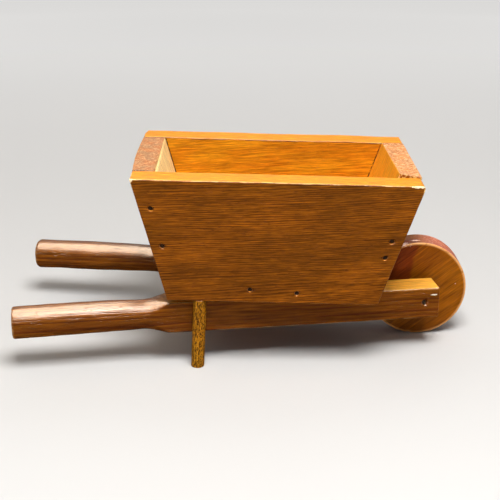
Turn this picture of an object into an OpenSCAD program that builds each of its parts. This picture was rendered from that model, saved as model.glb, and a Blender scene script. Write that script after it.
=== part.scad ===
// Small varnished wooden wheelbarrow. A five-board tray stands on two whittled rails
// that close in on a solid wheel, with two dowel legs under the tray.
// +X points to the wheel, +Z up. The origin is on the ground, in the middle of the outline.

/* [Tray] */
// Outside width of the tray, across both side boards
tray_w = 116; // [96:1:140]
// Length of the tray's bottom edge
tray_bottom_l = 123.3; // [102:0.1:148]
// Height of the side boards
tray_h = 73.2; // [61:0.1:88]
// Lean of the rear end board, in degrees from upright
rear_slope = 16.5; // [8:0.5:22]
// Lean of the front end board, in degrees from upright
front_slope = 17.5; // [8:0.5:22]
// Thickness of each side board
side_t = 17.8; // [14:0.1:21.4]
// Thickness of the two end boards
end_t = 13.3; // [11:0.1:16]
// Thickness of the floor board
floor_t = 13.3; // [11:0.1:16]
// Radius of the side boards' top front corners
corner_r = 2.6; // [1:0.1:5]
// How far the front end board's inner corner stands above the rim on the right
front_proud = 2.1; // [0.5:0.1:3]
// Nose-down tilt of the tray, in degrees
tray_tilt = 1.5; // [0:0.1:3]

/* [Rails and handles] */
// Height of a rail's square stretch
rail_h = 19.5; // [16:0.1:23.4]
// Thickness of a rail
rail_t = 17.6; // [14.6:0.1:21.2]
// Length of the right rail from the axle to the handle's end
rail_reach = 248.3; // [220:0.1:298]
// How much longer the left rail is at the handle
left_extra = 5.4; // [0:0.1:8]
// Length of a rail ahead of the axle
rail_nose = 8.9; // [6:0.1:14]
// Diameter of the whittled handles
handle_d = 18.6; // [15.5:0.1:22]
// Diameter of the neck where a handle meets its rail's square stretch
neck_d = 17.8; // [14.8:0.1:21]
// Length of the shoulder between neck and square stretch
shoulder_l = 18; // [12:0.5:24]
// Distance from the tray's rear bottom edge back to the neck
neck_setback = 16.5; // [10:0.5:24]
// Radius of the rounding round a handle's end
handle_end_r = 2.4; // [1:0.1:4]
// How far a rail's outer face is inside the side board's outer face, at the leg
rail_inset = 6.4; // [5:0.1:9]

/* [Wheel] */
// Diameter of the wheel
wheel_d = 61.4; // [51:0.1:74]
// Thickness of the wheel
wheel_t = 17.2; // [14:0.1:20.6]
// Radius of the easing along the wheel's edges
wheel_ease = 0.8; // [0.3:0.1:2]
// Gap between the wheel's rim and the tray's front bottom edge
wheel_rim_gap = 1.9; // [1:0.1:4]
// Gap on each side between the wheel and a rail, at the axle
wheel_side_gap = 5.4; // [3:0.1:8]
// Height of the axle above the rail's middle line
axle_rise = 0.5; // [-2:0.1:2]
// Diameter of the two axle nails
axle_d = 2.6; // [2:0.1:3.2]
// Clearance round an axle nail in the wheel's bore
axle_clear = 0.08; // [0.02:0.01:0.1]

/* [Legs] */
// Diameter of the dowel legs
leg_d = 7.9; // [6.5:0.1:9.5]
// Distance from the tray's rear bottom edge forward to the legs
leg_setback = 18.5; // [14:0.5:24]
// Depth of the hollow in the rail's face that a leg is glued into
leg_seat = 0.8; // [0.3:0.1:1.5]
// Backward lean of the legs, in degrees
leg_rake = 2.5; // [0:0.5:5]
// Outward lean of the legs, in degrees
leg_splay = 1.5; // [0:0.5:4]

/* [Nails] */
// Shank diameter of the brads
brad_d = 1.5; // [1.2:0.1:1.8]
// Head diameter of the brads
brad_head_d = 2.3; // [2:0.1:2.8]
// Height of every nail's head
head_h = 0.9; // [0.6:0.1:1.4]
// Head diameter of the axle nails
axle_head_d = 3.4; // [3:0.1:4.2]
// Depth of a nail's head below the wood's face
nail_sink = 0.9; // [0.5:0.1:1.5]
// Clearance round a nail in its hole
nail_clear = 0.04; // [0.02:0.01:0.1]
// Length of brad in the end boards and floor board
brad_bite = 13; // [10:0.5:15]
// Length of a floor nail below the floor board
rail_bite = 13.5; // [10:0.5:14]
// Distance from a floor nail to the side board
floor_nail_edge = 5; // [4:0.5:7]
// Heights of the two brads into the rear end board
rear_brad_z = [56, 33.5];
// Heights of the two brads into the front end board
front_brad_z = [39.5, 29.5];
// Places of the two brads into the floor board: distance behind its front edge, and height
floor_brad_xz = [[75.2, 7.8], [47.7, 6.2]];
// Distances of the floor nails behind the tray's front bottom edge
floor_nail_x = [95, 25];

/* [Hidden] */
$fn = 72;
arc_steps = 8;       // straight pieces in each rounded corner of an outline
over = 1;            // how far a cutting shape runs past the face it cuts
nail_tip = 2.5;      // length of a nail's point
tip_room = 0.3;      // depth of a nail hole past the point
tips_apart = 1;      // gap between the points of the two axle nails

// Widths and slopes of the tray
half_w = tray_w / 2;
inner_w = tray_w - 2 * side_t;
rear_run = tan(rear_slope);
front_run = tan(front_slope);
rear_end_x = end_t / cos(rear_slope);
front_end_x = end_t / cos(front_slope);
brad_l = side_t - nail_sink + brad_bite;
rail_nail_l = floor_t - nail_sink + rail_bite;

// Heights and distances along the barrow, counted from the axle
wheel_r = wheel_d / 2;
axle_z = wheel_r;
rail_z = axle_z - axle_rise;
rail_top = rail_z + rail_h / 2;
tray_x = sqrt(pow(wheel_r + wheel_rim_gap, 2) - pow(rail_top - axle_z, 2));
leg_x = tray_x + tray_bottom_l - leg_setback;
neck_x = tray_x + tray_bottom_l + neck_setback;

// The rails close in towards the wheel: their outer faces are set by the side boards at
// the legs, and their inner faces by the wheel at the axle
rail_in_y = wheel_t / 2 + wheel_side_gap;
rail_spread = half_w - rail_inset - rail_in_y;
rail_angle = atan2(rail_spread, leg_x) - asin(rail_t / norm([rail_spread, leg_x]));
rail_axle_y = rail_in_y + rail_t / 2 / cos(rail_angle);
rail_corner_r = norm([rail_h, rail_t]) / 2;
function rail_mid_y(x) = rail_axle_y + x * tan(rail_angle);
leg_y = rail_mid_y(leg_x) + (rail_t / 2 + leg_d / 2 - leg_seat) / cos(rail_angle);

// The axle nails are driven until their points nearly meet inside the wheel
axle_head_y = rail_in_y + rail_t / cos(rail_angle) - nail_sink;
axle_nail_l = axle_head_y - tips_apart / 2;

// Shift that puts the origin in the middle of the length
left_reach = rail_reach + left_extra;
rear_tip = (left_reach - handle_end_r) * cos(rail_angle)
    + (handle_d / 2 - handle_end_r) * sin(rail_angle) + handle_end_r;
axle_x = (rear_tip - wheel_r) / 2;

// Place the children in the tray's frame: its front bottom edge lies on the rails
module in_tray() {
    translate([axle_x - tray_x, 0, rail_top])
        rotate([0, tray_tilt, 0])
            children();
}

// Place the children along the right rail: x runs from the axle towards the nose
module in_rail() {
    translate([axle_x, -rail_axle_y, rail_z])
        rotate([0, 0, rail_angle])
            children();
}

// Turn the right-hand children into left-hand ones
module on_left() {
    mirror([0, 1, 0])
        children();
}

// Stand an outline drawn in x and z across the tray, from y to y + t
module board(outline, y, t) {
    translate([0, y + t, 0])
        rotate([90, 0, 0])
            linear_extrude(t)
                polygon(outline);
}

// A countersunk nail pointing along +z, with its head's top at z = 0
module nail(d, head_d, l) {
    cylinder(d = head_d, h = head_h);
    cylinder(d = d, h = l - nail_tip);
    translate([0, 0, l - nail_tip])
        cylinder(d1 = d, d2 = d / 5, h = nail_tip);
}

// The hole for such a nail, open above its head
module nail_hole(d, head_d, l) {
    translate([0, 0, -nail_sink - over])
        cylinder(d = head_d + 2 * nail_clear, h = nail_sink + over + head_h);
    cylinder(d = d + 2 * nail_clear, h = l + tip_room);
}

// Places of a side board's six brads in the tray's frame
brad_xz = [
    for (z = rear_brad_z) [rear_end_x / 2 - tray_bottom_l - z * rear_run, z],
    for (z = front_brad_z) [z * front_run - front_end_x / 2, z],
    for (p = floor_brad_xz) [-p[0], p[1]]
];

// Put the children where brad i of the right side board goes in
module at_brad(i) {
    in_tray()
        translate([brad_xz[i][0], nail_sink - half_w, brad_xz[i][1]])
            rotate([-90, 0, 0])
                children();
}

// Put the children where floor nail i over the right rail goes in
module at_rail_nail(i) {
    back = floor_nail_x[i];
    y = min(rail_mid_y(tray_x + back), inner_w / 2 - floor_nail_edge);
    in_tray()
        translate([-back, -y, floor_t - nail_sink])
            rotate([180, 0, 0])
                children();
}

// Put the children where the right axle nail goes in
module at_axle_nail() {
    translate([axle_x, -axle_head_y, axle_z])
        rotate([-90, 0, 0])
            children();
}

module side_brad(i) {
    at_brad(i)
        nail(brad_d, brad_head_d, brad_l);
}

module rail_nail(i) {
    at_rail_nail(i)
        nail(brad_d, brad_head_d, rail_nail_l);
}

module axle_nail() {
    at_axle_nail()
        nail(axle_d, axle_head_d, axle_nail_l);
}

module side_brad_holes() {
    for (i = [0 : len(brad_xz) - 1])
        at_brad(i)
            nail_hole(brad_d, brad_head_d, brad_l);
}

module rail_nail_holes() {
    for (i = [0 : len(floor_nail_x) - 1])
        at_rail_nail(i)
            nail_hole(brad_d, brad_head_d, rail_nail_l);
}

// Holes of the nails on both sides of the tray
module tray_holes() {
    side_brad_holes();
    on_left()
        side_brad_holes();
    rail_nail_holes();
    on_left()
        rail_nail_holes();
}

// Tapered side board with one rounded top corner at the front
module side_board() {
    corner_run = corner_r / tan((90 - front_slope) / 2);
    corner_mid = [tray_h * front_run - corner_run, tray_h - corner_r];
    sweep = 90 + front_slope;
    difference() {
        in_tray()
            board([
                [-tray_bottom_l, 0],
                [0, 0],
                for (i = [0 : arc_steps])
                    let (a = i / arc_steps * sweep - front_slope)
                        corner_mid + corner_r * [cos(a), sin(a)],
                [-tray_bottom_l - tray_h * rear_run, tray_h]
            ], -half_w, side_t);
        side_brad_holes();
    }
}

// Outline from the handle's end to the axle, as radius and distance along the rail:
// rounded end, straight handle tapering to the neck, hollow shoulder
function rail_profile(reach) =
    let (
        r = handle_d / 2,
        neck_r = neck_d / 2,
        neck_at = reach - neck_x / cos(rail_angle),
        rise = rail_corner_r + over - neck_r,
        sweep_r = (shoulder_l * shoulder_l + rise * rise) / (2 * rise)
    )
    [
        [0, 0],
        for (i = [0 : arc_steps])
            let (a = i / arc_steps * 90)
                [r - handle_end_r + handle_end_r * sin(a), handle_end_r - handle_end_r * cos(a)],
        [r, neck_at * 0.6],
        for (i = [0 : arc_steps])
            let (s = i / arc_steps * shoulder_l)
                [neck_r + sweep_r - sqrt(sweep_r * sweep_r - s * s), neck_at + s],
        [rail_corner_r + over, reach + rail_nose + over],
        [0, reach + rail_nose + over]
    ];

// Square bar whittled round at its handle end
module rail(reach) {
    difference() {
        in_rail()
            intersection() {
                translate([-reach, -rail_t / 2, -rail_h / 2])
                    cube([reach + rail_nose, rail_t, rail_h]);
                translate([-reach, 0, 0])
                    rotate([0, 90, 0])
                        rotate_extrude()
                            polygon(rail_profile(reach));
            }
        at_axle_nail()
            nail_hole(axle_d, axle_head_d, axle_nail_l);
        rail_nail_holes();
        leg_line(leg_d + 2 * nail_clear);
    }
}

// Round bar along the right leg's line, longer than the leg at both ends
module leg_line(d) {
    translate([axle_x - leg_x, -leg_y, rail_z])
        rotate([-leg_splay, leg_rake, 0])
            cylinder(d = d, h = 2 * rail_top, center = true);
}

// Dowel leg cut level at the ground and flush under the tilted tray
module leg() {
    reach = 2 * rail_top;
    difference() {
        leg_line(leg_d);
        translate([axle_x - leg_x - reach / 2, -leg_y - reach / 2, -reach])
            cube([reach, reach, reach]);
        in_tray()
            translate([tray_x - leg_x - reach / 2, -leg_y - reach / 2, 0])
                cube([reach, reach, reach]);
    }
}

module right_side_board() {
    color("#8a4a0c")
        side_board();
}

module left_side_board() {
    color("#8a4a0c")
        on_left()
            side_board();
}

module rear_end_board() {
    color("#c98a58")
        difference() {
            in_tray()
                board([
                    [-tray_bottom_l, 0],
                    [rear_end_x - tray_bottom_l, 0],
                    [rear_end_x - tray_bottom_l - tray_h * rear_run, tray_h],
                    [-tray_bottom_l - tray_h * rear_run, tray_h]
                ], -inner_w / 2, inner_w);
            tray_holes();
        }
}

// The front end board's top is out of square: it is flush with the rim along its outer
// edge and at the left, and rises to its right inner corner
module front_rise() {
    rise_slope = atan2(front_proud, front_end_x);
    fall = atan2(front_proud, inner_w);
    intersection() {
        board([
            [tray_h * front_run - front_end_x, tray_h],
            [tray_h * front_run, tray_h],
            [(tray_h + front_proud) * front_run - front_end_x, tray_h + front_proud]
        ], -inner_w / 2, inner_w);
        translate([tray_h * front_run, -inner_w / 2, tray_h])
            rotate([-fall, rise_slope, 0])
                translate([-tray_w, -tray_w, -tray_h])
                    cube([2 * tray_w, 2 * tray_w, tray_h]);
    }
}

module front_end_board() {
    color("#e0852a")
        difference() {
            in_tray() {
                board([
                    [-front_end_x, 0],
                    [0, 0],
                    [tray_h * front_run, tray_h],
                    [tray_h * front_run - front_end_x, tray_h]
                ], -inner_w / 2, inner_w);
                front_rise();
            }
            tray_holes();
        }
}

module floor_board() {
    color("#c46a14")
        difference() {
            in_tray()
                board([
                    [rear_end_x - tray_bottom_l, 0],
                    [-front_end_x, 0],
                    [floor_t * front_run - front_end_x, floor_t],
                    [rear_end_x - tray_bottom_l - floor_t * rear_run, floor_t]
                ], -inner_w / 2, inner_w);
            tray_holes();
        }
}

module right_rail() {
    color("#a85a1c")
        rail(rail_reach);
}

module left_rail() {
    color("#a85a1c")
        on_left()
            rail(left_reach);
}

module right_leg() {
    color("#b8801f")
        leg();
}

module left_leg() {
    color("#b8801f")
        on_left()
            leg();
}

// Solid disc with eased edges and one bore for both axle nails
module wheel() {
    half_t = wheel_t / 2;
    bore_r = axle_d / 2 + axle_clear;
    color("#8c5200")
        translate([axle_x, 0, axle_z])
            rotate([90, 0, 0])
                rotate_extrude()
                    polygon([
                        [bore_r, -half_t],
                        for (i = [0 : arc_steps])
                            let (a = i / arc_steps * 90 - 90)
                                [wheel_r - wheel_ease, wheel_ease - half_t]
                                    + wheel_ease * [cos(a), sin(a)],
                        for (i = [0 : arc_steps])
                            let (a = i / arc_steps * 90)
                                [wheel_r - wheel_ease, half_t - wheel_ease]
                                    + wheel_ease * [cos(a), sin(a)],
                        [bore_r, half_t]
                    ]);
}

module right_axle_nail() {
    color("#8f8a80")
        axle_nail();
}

module left_axle_nail() {
    color("#8f8a80")
        on_left()
            axle_nail();
}

module right_rear_brad_top() {
    color("#5a5650")
        side_brad(0);
}

module right_rear_brad_low() {
    color("#5a5650")
        side_brad(1);
}

module right_front_brad_top() {
    color("#5a5650")
        side_brad(2);
}

module right_front_brad_low() {
    color("#5a5650")
        side_brad(3);
}

module right_floor_brad_rear() {
    color("#5a5650")
        side_brad(4);
}

module right_floor_brad_front() {
    color("#5a5650")
        side_brad(5);
}

module left_rear_brad_top() {
    color("#5a5650")
        on_left()
            side_brad(0);
}

module left_rear_brad_low() {
    color("#5a5650")
        on_left()
            side_brad(1);
}

module left_front_brad_top() {
    color("#5a5650")
        on_left()
            side_brad(2);
}

module left_front_brad_low() {
    color("#5a5650")
        on_left()
            side_brad(3);
}

module left_floor_brad_rear() {
    color("#5a5650")
        on_left()
            side_brad(4);
}

module left_floor_brad_front() {
    color("#5a5650")
        on_left()
            side_brad(5);
}

module right_rail_nail_rear() {
    color("#5a5650")
        rail_nail(0);
}

module right_rail_nail_front() {
    color("#5a5650")
        rail_nail(1);
}

module left_rail_nail_rear() {
    color("#5a5650")
        on_left()
            rail_nail(0);
}

module left_rail_nail_front() {
    color("#5a5650")
        on_left()
            rail_nail(1);
}

right_side_board();
left_side_board();
rear_end_board();
front_end_board();
floor_board();
right_rail();
left_rail();
right_leg();
left_leg();
wheel();
right_axle_nail();
left_axle_nail();
right_rear_brad_top();
right_rear_brad_low();
right_front_brad_top();
right_front_brad_low();
right_floor_brad_rear();
right_floor_brad_front();
left_rear_brad_top();
left_rear_brad_low();
left_front_brad_top();
left_front_brad_low();
left_floor_brad_rear();
left_floor_brad_front();
right_rail_nail_rear();
right_rail_nail_front();
left_rail_nail_rear();
left_rail_nail_front();
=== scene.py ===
from math import radians

import bpy
import numpy as np
from mathutils import Euler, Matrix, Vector


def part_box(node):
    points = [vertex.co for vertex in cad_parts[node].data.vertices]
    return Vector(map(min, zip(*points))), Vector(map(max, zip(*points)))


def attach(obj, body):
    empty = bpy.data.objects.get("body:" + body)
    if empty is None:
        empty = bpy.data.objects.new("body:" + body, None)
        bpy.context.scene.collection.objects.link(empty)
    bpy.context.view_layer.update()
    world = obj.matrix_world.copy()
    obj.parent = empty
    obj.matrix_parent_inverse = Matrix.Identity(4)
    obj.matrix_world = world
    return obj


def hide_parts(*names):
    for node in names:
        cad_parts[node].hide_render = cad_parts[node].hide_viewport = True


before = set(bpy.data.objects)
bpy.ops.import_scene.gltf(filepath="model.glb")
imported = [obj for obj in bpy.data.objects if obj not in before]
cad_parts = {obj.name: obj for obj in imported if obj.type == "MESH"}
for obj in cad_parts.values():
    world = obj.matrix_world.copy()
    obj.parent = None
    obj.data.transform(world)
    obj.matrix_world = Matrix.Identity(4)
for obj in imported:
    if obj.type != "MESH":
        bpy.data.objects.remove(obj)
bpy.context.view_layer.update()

mm = 0.001  # everything below is in millimetres until it goes into a mesh
scene = bpy.context.scene


def putMesh(name, points, quads, fans=(), body="barrow", node=None, slot=None, material=None, **values):
    # points is n x 3 in millimetres, quads is m x 4 vertex numbers, fans are triangles that close a pole;
    # every further value is one number per point, kept as an attribute for the material
    mesh = bpy.data.meshes.new(name)
    loops = np.concatenate([np.ravel(quads)] + [np.ravel(f) for f in fans]).astype(np.int32)
    triangleCount = sum(len(f) for f in fans)
    sizes = np.concatenate([np.full(len(quads), 4), np.full(triangleCount, 3)]).astype(np.int32)
    starts = np.concatenate([[0], np.cumsum(sizes)[:-1]]).astype(np.int32)
    mesh.vertices.add(len(points))
    mesh.vertices.foreach_set("co", (np.asarray(points) * mm).astype(np.float32).ravel())
    mesh.loops.add(len(loops))
    mesh.loops.foreach_set("vertex_index", loops)
    mesh.polygons.add(len(sizes))
    mesh.polygons.foreach_set("loop_start", starts)
    mesh.polygons.foreach_set("loop_total", sizes)
    mesh.update(calc_edges=True)
    mesh.validate()
    mesh.polygons.foreach_set("use_smooth", np.ones(len(mesh.polygons), bool))
    for key, value in values.items():
        mesh.attributes.new(key, "FLOAT", "POINT").data.foreach_set("value", np.asarray(value, np.float32))
    piece = bpy.data.objects.new(name, mesh)
    scene.collection.objects.link(piece)
    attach(piece, body)
    if node:
        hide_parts(node)
    if material:
        mesh.materials.append(material)
    return piece


def waves(points, seed, size, count=6):
    # Sum of sine waves in count directions drawn from the seed, each about size long: about 0 to 1
    draw = np.random.default_rng(seed)
    ways = draw.normal(size=(count, 3))
    ways *= (2 * np.pi / size * draw.uniform(0.6, 1.6, count) / np.linalg.norm(ways, axis=1))[:, None]
    phase = draw.uniform(0, 2 * np.pi, count)
    return 0.5 + np.sin(points @ ways.T + phase).sum(1) / (2.4 * np.sqrt(2 * count))


def smooth(low, high, x):
    # Cubic step from 0 at low to 1 at high
    t = np.clip((x - low) / (high - low), 0, 1)
    return t * t * (3 - 2 * t)


grid = {
    "step": 2.6, "sideThrough": 1.6, "endThrough": 1.8, "alongRail": 3.0,  # between lines
    "nailReach": 2.0, "nailStep": 0.3,  # finer lines across each nail
    "closest": 0.08,  # nearer lines are left out
}
edgeTurns = np.radians([0, 15, 30, 45])  # turns at which grid lines meet a rounded edge
eighthTurn = 0.293  # 1 - cos 45 degrees


def gridLines(low, high, step, edges, spots=()):
    # Even lines, plus lines at the tangents of the edge turns inside each rounded edge, for every
    # radius in edges, plus fine lines across each spot, given as centre, reach and step
    band = np.outer(edges, 1 - np.tan(edgeTurns)).ravel()
    ends = np.concatenate([low + band, high - band])
    widest = np.max(edges)
    lines = [ends, np.linspace(low + widest, high - widest, int((high - low) / step) + 2)]
    for centre, reach, fine in spots:
        across = np.arange(centre - reach, centre + reach + fine / 2, fine)
        lines.append(np.clip(across, low + widest, high - widest))
    lines = np.unique(np.round(np.concatenate(lines), 4))
    isEnd = np.isin(lines, np.round(ends, 4))
    keep = isEnd | (np.diff(np.append(lines, 1e9)) > grid["closest"])
    return lines[keep]


def nailSpots(places):
    # Spots for gridLines, one at each place
    return [(place, grid["nailReach"], grid["nailStep"]) for place in places]


def latticeSkin(xs, ys, zs):
    # Skin of a block of grid lines: its boundary points, and the quads of its six sides, facing out
    shape = (len(xs), len(ys), len(zs))
    inside = np.zeros(shape, bool)
    inside[1:-1, 1:-1, 1:-1] = True
    number = np.full(shape, -1)
    number[~inside] = np.arange((~inside).sum())
    points = np.stack(np.meshgrid(xs, ys, zs, indexing="ij"), -1)[~inside]
    quads = []
    for sheet, flip in ((number[0], True), (number[-1], False),
                        (number[:, 0], False), (number[:, -1], True),
                        (number[:, :, 0], True), (number[:, :, -1], False)):
        corners = [sheet[:-1, :-1], sheet[1:, :-1], sheet[1:, 1:], sheet[:-1, 1:]]
        if flip:
            corners.reverse()
        quads.append(np.stack(corners, -1).reshape(-1, 4))
    return points, np.concatenate(quads)


def handEdge(points, seed, radius, size):
    # Edge radius as left by hand sanding: 0.6 to 1.4 of the given one, by waves about size long
    return radius * (0.6 + 0.8 * waves(points, seed, size))


def easeEdges(points, low, high, radius):
    # Every point goes to radius away from the nearest point of the block shrunk by radius;
    # wear is 0 on the flats and 1 half way round an edge
    core = np.clip(points, low + radius[:, None], high - radius[:, None])
    out = points - core
    out /= np.maximum(np.linalg.norm(out, axis=1), 1e-9)[:, None]
    wear = np.clip((1 - np.abs(out).max(1)) / eighthTurn, 0, 1)
    return core + out * radius[:, None], wear


def dent(distance, radius, depth):
    # Round hollow: full depth within 0.8 of the radius, rising by a cubic step to nothing at 1.25 of it
    return depth * (1 - smooth(radius * 0.8, radius * 1.25, distance))


def makeTree(name):
    # New material with an empty tree, and a function that adds a node with its inputs and settings
    material = bpy.data.materials.new(name)
    material.use_nodes = True
    tree = material.node_tree
    tree.nodes.clear()

    def add(kind, inputs=None, **settings):
        node = tree.nodes.new("ShaderNode" + kind)
        for key, value in settings.items():
            setattr(node, key, value)
        for key, value in (inputs or {}).items():
            if isinstance(value, bpy.types.NodeSocket):
                tree.links.new(value, node.inputs[key])
            else:
                node.inputs[key].default_value = value
        return node
    return material, tree, add


# Noise patterns of the wood: squeeze along the grain, scale per millimetre, detail and roughness
patterns = {
    "bend": (0.22, 0.016, 1, 0.5), "wiggle": (0.16, 0.11, 2, 0.5), "fibre": (0.045, 1.5, 4, 0.62),
    "streak": (0.02, 0.33, 2, 0.55), "broken": (0.12, 0.22, 2, 0.5), "speckle": (0.8, 1.1, 4, 0.7),
    "blotch": (1.0, 0.12, 3, 0.6), "specks": (1.0, 1.25, 2, 0.7), "grime": (1.0, 0.7, 2, 0.5),
    "worn": (0.5, 0.3, 3, 0.7),
}
# Grey levels of the patterns: a position in the pattern's range, and the level there
ramps = {
    "ring": ((0.0, 0.0), (1.0, 0.0), (0.35, 0.12), (0.72, 0.75), (0.86, 1.0), (0.95, 0.55)),
    "streak": ((0.40, 0.0), (0.68, 1.0)), "patch": ((0.40, 0.0), (0.60, 1.0)),
    "broken": ((0.36, 0.35), (0.58, 1.0)), "blotch": ((0.38, 0.0), (0.62, 1.0)),
    "specks": ((0.50, 0.0), (0.60, 1.0)), "grime": ((0.40, 0.2), (0.48, 1.0)),
}
surface = {
    "ringNoise": 0.14, "patchSqueeze": 0.45, "speckSqueeze": (1, 1, 0.28),
    "dashSoft": 0.09, "wearSoft": 0.16, "markSoft": 0.3,
    "endFrom": 0.55, "endTo": 0.85,  # cosine between the surface's normal and the grain
    "seamCore": 0.35, "seamEdge": 0.75,
    "fibreRough": 0.22, "endRough": 0.16,
    "fibreHeight": 0.55, "ringHeight": -0.35, "fleckHeight": 0.5, "dashHeight": -0.5, "endHeight": 2.2,
    "bumpDepth": 0.25,
}


def woodMaterial(name, look):
    # Solid wood. Along the grain it has rings, where the fraction of distance from a pith line / gap + noise
    # is high, over patches, streaks, fibre, flecks and dashes, in a lighter tone on the tray's inner faces,
    # which
    # is painted light: the same wood shown as more brightly lit. Where the surface faces along the grain it is
    # rough end grain. Over that come painted top light (a lighter tone on upward faces), a painted shadow,
    # grime and dark seams, pale worn edges, and chips and painted glints: ellipsoids with a ragged outline
    material, tree, add = makeTree(name)

    def maths(operation, a, b=0.0, c=0.0):
        return add("Math", {0: a, 1: b, 2: c}, operation=operation).outputs[0]

    def vector(operation, a, b=(0, 0, 0)):
        node = add("VectorMath", {0: a, 1: b}, operation=operation)
        return node.outputs["Value" if operation in ("LENGTH", "DOT_PRODUCT") else "Vector"]

    def scaled(a, amount):
        return add("VectorMath", {0: a, "Scale": amount}, operation="SCALE").outputs["Vector"]

    def noise(at, squeeze, scale, detail, rough=0.5, output=0):
        place = vector("MULTIPLY", at, (squeeze, 1, 1))
        node = add("TexNoise", {"Vector": place, "Scale": scale, "Detail": detail, "Roughness": rough})
        return node.outputs[output]

    def ramp(value, stops):
        node = add("ValToRGB", {0: value})
        for i, (at, grey) in enumerate(stops):
            stop = node.color_ramp.elements[i] if i < 2 else node.color_ramp.elements.new(at)
            stop.position = at
            stop.color = (grey, grey, grey, 1)
        return node.outputs[0]

    def graded(at, key):
        return ramp(noise(at, *patterns[key]), ramps[key])

    def mix(factor, a, b, blend="MIX"):
        return add("Mix", {0: factor, 6: a, 7: b}, data_type="RGBA", blend_type=blend).outputs[2]

    def swing(value, amount):
        # Factor about 1 that follows a value between 0 and 1
        return maths("MULTIPLY_ADD", value, amount, 1 - amount * 0.5)

    def attribute(key):
        return add("Attribute", attribute_name=key).outputs["Fac"]

    def colour(key):
        return (*look[key], 1)

    coords = add("TexCoord")
    where, normal = coords.outputs["Object"], coords.outputs["Normal"]
    inner = attribute("inner")

    # inner faces take the look's inside tones, which are painted light: the same wood shown as more brightly
    # lit
    def tone(key):
        return mix(inner, colour(key), (*look["inside"][key], 1)) if look["inside"] else colour(key)

    turned = add("Mapping", {"Vector": where, "Rotation": [radians(a) for a in look["turn"]],
                             "Location": look["pith"], "Scale": [1 / mm] * 3}).outputs[0]
    grain = turned
    for key in ("bend", "wiggle"):
        push = vector("SUBTRACT", noise(turned, *patterns[key], output="Color"), (0.5, 0.5, 0.5))
        grain = vector("ADD", grain, scaled(push, look[key]))

    ringAt = vector("LENGTH", vector("MULTIPLY", grain, (0, 1, 1)))
    uneven = add("TexNoise", {"W": ringAt, "Scale": surface["ringNoise"], "Detail": 1.0},
                 noise_dimensions="1D").outputs[0]
    ringAt = maths("ADD", maths("DIVIDE", ringAt, look["ringGap"]),
                   maths("MULTIPLY", uneven, look["ringUneven"]))
    ring = ramp(maths("FRACT", ringAt), ramps["ring"])
    fibre = noise(grain, *patterns["fibre"])
    streak = graded(grain, "streak")
    fleck = noise(grain, look["fleckStretch"], look["fleckScale"], 3, 0.6)
    dash = ramp(noise(grain, look["dashStretch"], look["dashScale"], 1),
                [(look["dashFrom"], 0.0), (look["dashFrom"] + surface["dashSoft"], 1.0)])
    patch = ramp(noise(turned, surface["patchSqueeze"], look["patchScale"], 3, 0.6), ramps["patch"])
    lines = maths("MULTIPLY", ring, graded(grain, "broken"))

    long = mix(patch, tone("plain"), tone("patch"))
    long = mix(maths("MULTIPLY", streak, look["streakAmount"]), long, tone("streak"))
    long = mix(maths("MULTIPLY", lines, look["ringAmount"]), long, tone("late"))
    shade = maths("MULTIPLY", swing(fibre, look["fibreAmount"]), swing(fleck, look["fleckAmount"]))
    long = mix(1.0, long, shade, "MULTIPLY")
    long = mix(maths("MULTIPLY", dash, look["dashAmount"]), long, colour("dash"))

    speckle = noise(turned, *patterns["speckle"])
    cut = mix(graded(turned, "blotch"), colour("endPlain"), colour("endPatch"))
    cut = mix(maths("MULTIPLY", ring, look["endRing"]), cut, colour("endLate"))
    specks = graded(vector("MULTIPLY", turned, surface["speckSqueeze"]), "specks")
    cut = mix(maths("MULTIPLY", specks, look["endSpecks"]), cut, colour("endSpeck"))
    cut = mix(1.0, cut, swing(speckle, look["endRough"]), "MULTIPLY")
    facing = maths("ABSOLUTE", vector("DOT_PRODUCT", normal, look["grainWay"]))
    endMask = add("MapRange", {0: facing, 1: surface["endFrom"], 2: surface["endTo"]}).outputs[0]
    wood = mix(endMask, long, cut)

    # painted top light: faces that point up get a lighter, yellower tone in place of light from above, less on
    # end grain, and on the rails only where they are square
    upward = add("SeparateXYZ", {0: normal}).outputs["Z"]
    topLightMask = add("MapRange", {0: upward, 1: look["topFrom"], 2: look["topTo"]}).outputs[0]
    topLightAmount = maths("MULTIPLY_ADD", endMask, -look["topLightEndOff"], look["topLightAmount"])
    topLightMask = maths("MULTIPLY", topLightMask, topLightAmount)
    if look["topLightWhere"]:
        topLightMask = maths("MULTIPLY", topLightMask, attribute(look["topLightWhere"]))
    wood = mix(topLightMask, wood, mix(1.0, colour("top"), shade, "MULTIPLY"))

    # painted shadow: the tray's shadow on the wheel's near face, darkened by this colour where the mesh's
    # attribute is set
    wood = mix(attribute("stain"), wood, mix(1.0, colour("stain"), shade, "MULTIPLY"))
    dirt = attribute("dirt")
    for slope, offset in look["seams"]:
        apart = maths("SUBTRACT", vector("DOT_PRODUCT", where, slope), offset * mm)
        seam = add("MapRange", {0: maths("ABSOLUTE", apart),
                                1: surface["seamEdge"] * mm, 2: surface["seamCore"] * mm}).outputs[0]
        dirt = maths("MAXIMUM", dirt, maths("MULTIPLY", seam, inner))
    wood = mix(maths("MULTIPLY", dirt, graded(turned, "grime")), wood, colour("dirt"))
    worn = ramp(noise(turned, *patterns["worn"]),
                [(look["wearFrom"], 0.0), (look["wearFrom"] + surface["wearSoft"], 1.0)])
    worn = maths("MULTIPLY", attribute("wear"), worn)
    wood = mix(maths("MULTIPLY", worn, look["wearAmount"]), wood, colour("wear"))

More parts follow.
